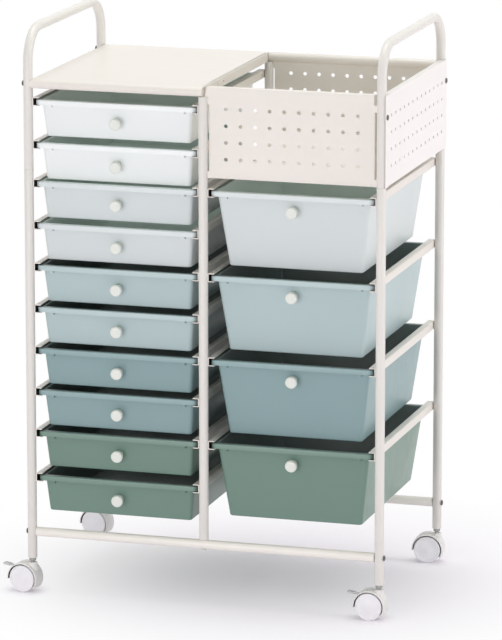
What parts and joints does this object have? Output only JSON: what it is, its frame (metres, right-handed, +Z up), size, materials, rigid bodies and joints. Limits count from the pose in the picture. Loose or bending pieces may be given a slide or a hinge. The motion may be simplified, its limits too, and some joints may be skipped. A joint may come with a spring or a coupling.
{
  "type": "rolling drawer cart",
  "caption": "Tubular steel cart on swivel casters: shallow tapered plastic drawers in one column, deep drawers below a perforated sheet basket in the other, shelf on top, push bar at each end.",
  "frame": {"origin": "on the floor, under the middle of the overall box", "axes": "+Z up, the drawers face -Y, +X to the right seen from the front"},
  "size_m": [0.6896, 0.4274, 0.989],
  "materials": {
    "frame_paint": "satin cream paint",
    "bolt_steel": "zinc grey",
    "stem_steel": "bright zinc",
    "caster_plastic": "moulded satin",
    "wheel_plastic": "moulded satin",
    "knob_plastic": "moulded gloss",
    "drawer_white": "moulded satin",
    "drawer_mist": "moulded satin",
    "drawer_sky": "moulded satin",
    "drawer_teal": "moulded satin",
    "drawer_sage": "moulded satin"
  },
  "bodies": {
    "frame": {"left_handle": "frame_paint", "right_handle": "frame_paint", "front_left_post": "frame_paint", "front_right_post": "frame_paint", "back_left_post": "frame_paint", "back_right_post": "frame_paint", "mid_front_post": "frame_paint", "mid_back_post": "frame_paint", "bottom_front_rail": "frame_paint", "bottom_back_rail": "frame_paint", "top_back_rail": "frame_paint", "top_shelf": "frame_paint", "basket_front_panel": "frame_paint", "basket_back_panel": "frame_paint", "basket_side_panel": "frame_paint", "basket_floor": "frame_paint", "left_runners": "frame_paint", "mid_left_runners": "frame_paint", "mid_right_runners": "frame_paint", "right_runners": "frame_paint", "frame_bolts": "bolt_steel", "caster_stems": "stem_steel"},
    "small_drawer_01": {"small_drawer_01": "drawer_white", "small_knob_01": "knob_plastic"},
    "small_drawer_02": {"small_drawer_02": "drawer_white", "small_knob_02": "knob_plastic"},
    "small_drawer_03": {"small_drawer_03": "drawer_mist", "small_knob_03": "knob_plastic"},
    "small_drawer_04": {"small_drawer_04": "drawer_mist", "small_knob_04": "knob_plastic"},
    "small_drawer_05": {"small_drawer_05": "drawer_sky", "small_knob_05": "knob_plastic"},
    "small_drawer_06": {"small_drawer_06": "drawer_sky", "small_knob_06": "knob_plastic"},
    "small_drawer_07": {"small_drawer_07": "drawer_teal", "small_knob_07": "knob_plastic"},
    "small_drawer_08": {"small_drawer_08": "drawer_teal", "small_knob_08": "knob_plastic"},
    "small_drawer_09": {"small_drawer_09": "drawer_sage", "small_knob_09": "knob_plastic"},
    "small_drawer_10": {"small_drawer_10": "drawer_sage", "small_knob_10": "knob_plastic"},
    "large_drawer_1": {"large_drawer_1": "drawer_mist", "large_knob_1": "knob_plastic"},
    "large_drawer_2": {"large_drawer_2": "drawer_sky", "large_knob_2": "knob_plastic"},
    "large_drawer_3": {"large_drawer_3": "drawer_teal", "large_knob_3": "knob_plastic"},
    "large_drawer_4": {"large_drawer_4": "drawer_sage", "large_knob_4": "knob_plastic"},
    "front_left_caster": {"front_left_caster_hood": "caster_plastic"},
    "front_left_wheels": {"front_left_caster_wheels": "wheel_plastic"},
    "front_left_brake": {"front_left_brake_lever": "caster_plastic"},
    "front_right_caster": {"front_right_caster_hood": "caster_plastic"},
    "front_right_wheels": {"front_right_caster_wheels": "wheel_plastic"},
    "front_right_brake": {"front_right_brake_lever": "caster_plastic"},
    "back_left_caster": {"back_left_caster_hood": "caster_plastic"},
    "back_left_wheels": {"back_left_caster_wheels": "wheel_plastic"},
    "back_right_caster": {"back_right_caster_hood": "caster_plastic"},
    "back_right_wheels": {"back_right_caster_wheels": "wheel_plastic"}
  },
  "joints": [
    {"name": "small_drawer_01_slide", "type": "slide", "parent": "frame", "child": "small_drawer_01", "axis": [0, -1, 0], "range_m": [0, 0.3]},
    {"name": "small_drawer_02_slide", "type": "slide", "parent": "frame", "child": "small_drawer_02", "axis": [0, -1, 0], "range_m": [0, 0.3]},
    {"name": "small_drawer_03_slide", "type": "slide", "parent": "frame", "child": "small_drawer_03", "axis": [0, -1, 0], "range_m": [0, 0.3]},
    {"name": "small_drawer_04_slide", "type": "slide", "parent": "frame", "child": "small_drawer_04", "axis": [0, -1, 0], "range_m": [0, 0.3]},
    {"name": "small_drawer_05_slide", "type": "slide", "parent": "frame", "child": "small_drawer_05", "axis": [0, -1, 0], "range_m": [0, 0.3]},
    {"name": "small_drawer_06_slide", "type": "slide", "parent": "frame", "child": "small_drawer_06", "axis": [0, -1, 0], "range_m": [0, 0.3]},
    {"name": "small_drawer_07_slide", "type": "slide", "parent": "frame", "child": "small_drawer_07", "axis": [0, -1, 0], "range_m": [0, 0.3]},
    {"name": "small_drawer_08_slide", "type": "slide", "parent": "frame", "child": "small_drawer_08", "axis": [0, -1, 0], "range_m": [0, 0.3]},
    {"name": "small_drawer_09_slide", "type": "slide", "parent": "frame", "child": "small_drawer_09", "axis": [0, -1, 0], "range_m": [0, 0.3]},
    {"name": "small_drawer_10_slide", "type": "slide", "parent": "frame", "child": "small_drawer_10", "axis": [0, -1, 0], "range_m": [0, 0.3]},
    {"name": "large_drawer_1_slide", "type": "slide", "parent": "frame", "child": "large_drawer_1", "axis": [0, -1, 0], "range_m": [0, 0.3]},
    {"name": "large_drawer_2_slide", "type": "slide", "parent": "frame", "child": "large_drawer_2", "axis": [0, -1, 0], "range_m": [0, 0.3]},
    {"name": "large_drawer_3_slide", "type": "slide", "parent": "frame", "child": "large_drawer_3", "axis": [0, -1, 0], "range_m": [0, 0.3]},
    {"name": "large_drawer_4_slide", "type": "slide", "parent": "frame", "child": "large_drawer_4", "axis": [0, -1, 0], "range_m": [0, 0.3]},
    {"name": "front_left_caster_swivel", "type": "hinge", "parent": "frame", "child": "front_left_caster", "pos_m": [-0.29, -0.195, 0.05], "axis": [0, 0, 1], "continuous": true},
    {"name": "front_left_wheels_spin", "type": "hinge", "parent": "front_left_caster", "child": "front_left_wheels", "pos_m": [-0.30485, -0.19291, 0.024], "axis": [0.1392, 0.9903, 0], "continuous": true},
    {"name": "front_left_brake_tip", "type": "hinge", "parent": "front_left_caster", "child": "front_left_brake", "pos_m": [-0.31676, -0.19124, 0.04182], "axis": [-0.1392, -0.9903, 0], "range_deg": [0, 18]},
    {"name": "front_right_caster_swivel", "type": "hinge", "parent": "frame", "child": "front_right_caster", "pos_m": [0.33, -0.195, 0.05], "axis": [0, 0, 1], "continuous": true},
    {"name": "front_right_wheels_spin", "type": "hinge", "parent": "front_right_caster", "child": "front_right_wheels", "pos_m": [0.315, -0.19474, 0.024], "axis": [0.0175, 0.9998, 0], "continuous": true},
    {"name": "front_right_brake_tip", "type": "hinge", "parent": "front_right_caster", "child": "front_right_brake", "pos_m": [0.30298, -0.19453, 0.04182], "axis": [-0.0175, -0.9998, 0], "range_deg": [0, 18]},
    {"name": "back_left_caster_swivel", "type": "hinge", "parent": "frame", "child": "back_left_caster", "pos_m": [-0.29, 0.195, 0.05], "axis": [0, 0, 1], "continuous": true},
    {"name": "back_left_wheels_spin", "type": "hinge", "parent": "back_left_caster", "child": "back_left_wheels", "pos_m": [-0.30485, 0.19709, 0.024], "axis": [0.1392, 0.9903, 0], "continuous": true},
    {"name": "back_right_caster_swivel", "type": "hinge", "parent": "frame", "child": "back_right_caster", "pos_m": [0.33, 0.195, 0.05], "axis": [0, 0, 1], "continuous": true},
    {"name": "back_right_wheels_spin", "type": "hinge", "parent": "back_right_caster", "child": "back_right_wheels", "pos_m": [0.31504, 0.19395, 0.024], "axis": [-0.0698, 0.9976, 0], "continuous": true}
  ]
}
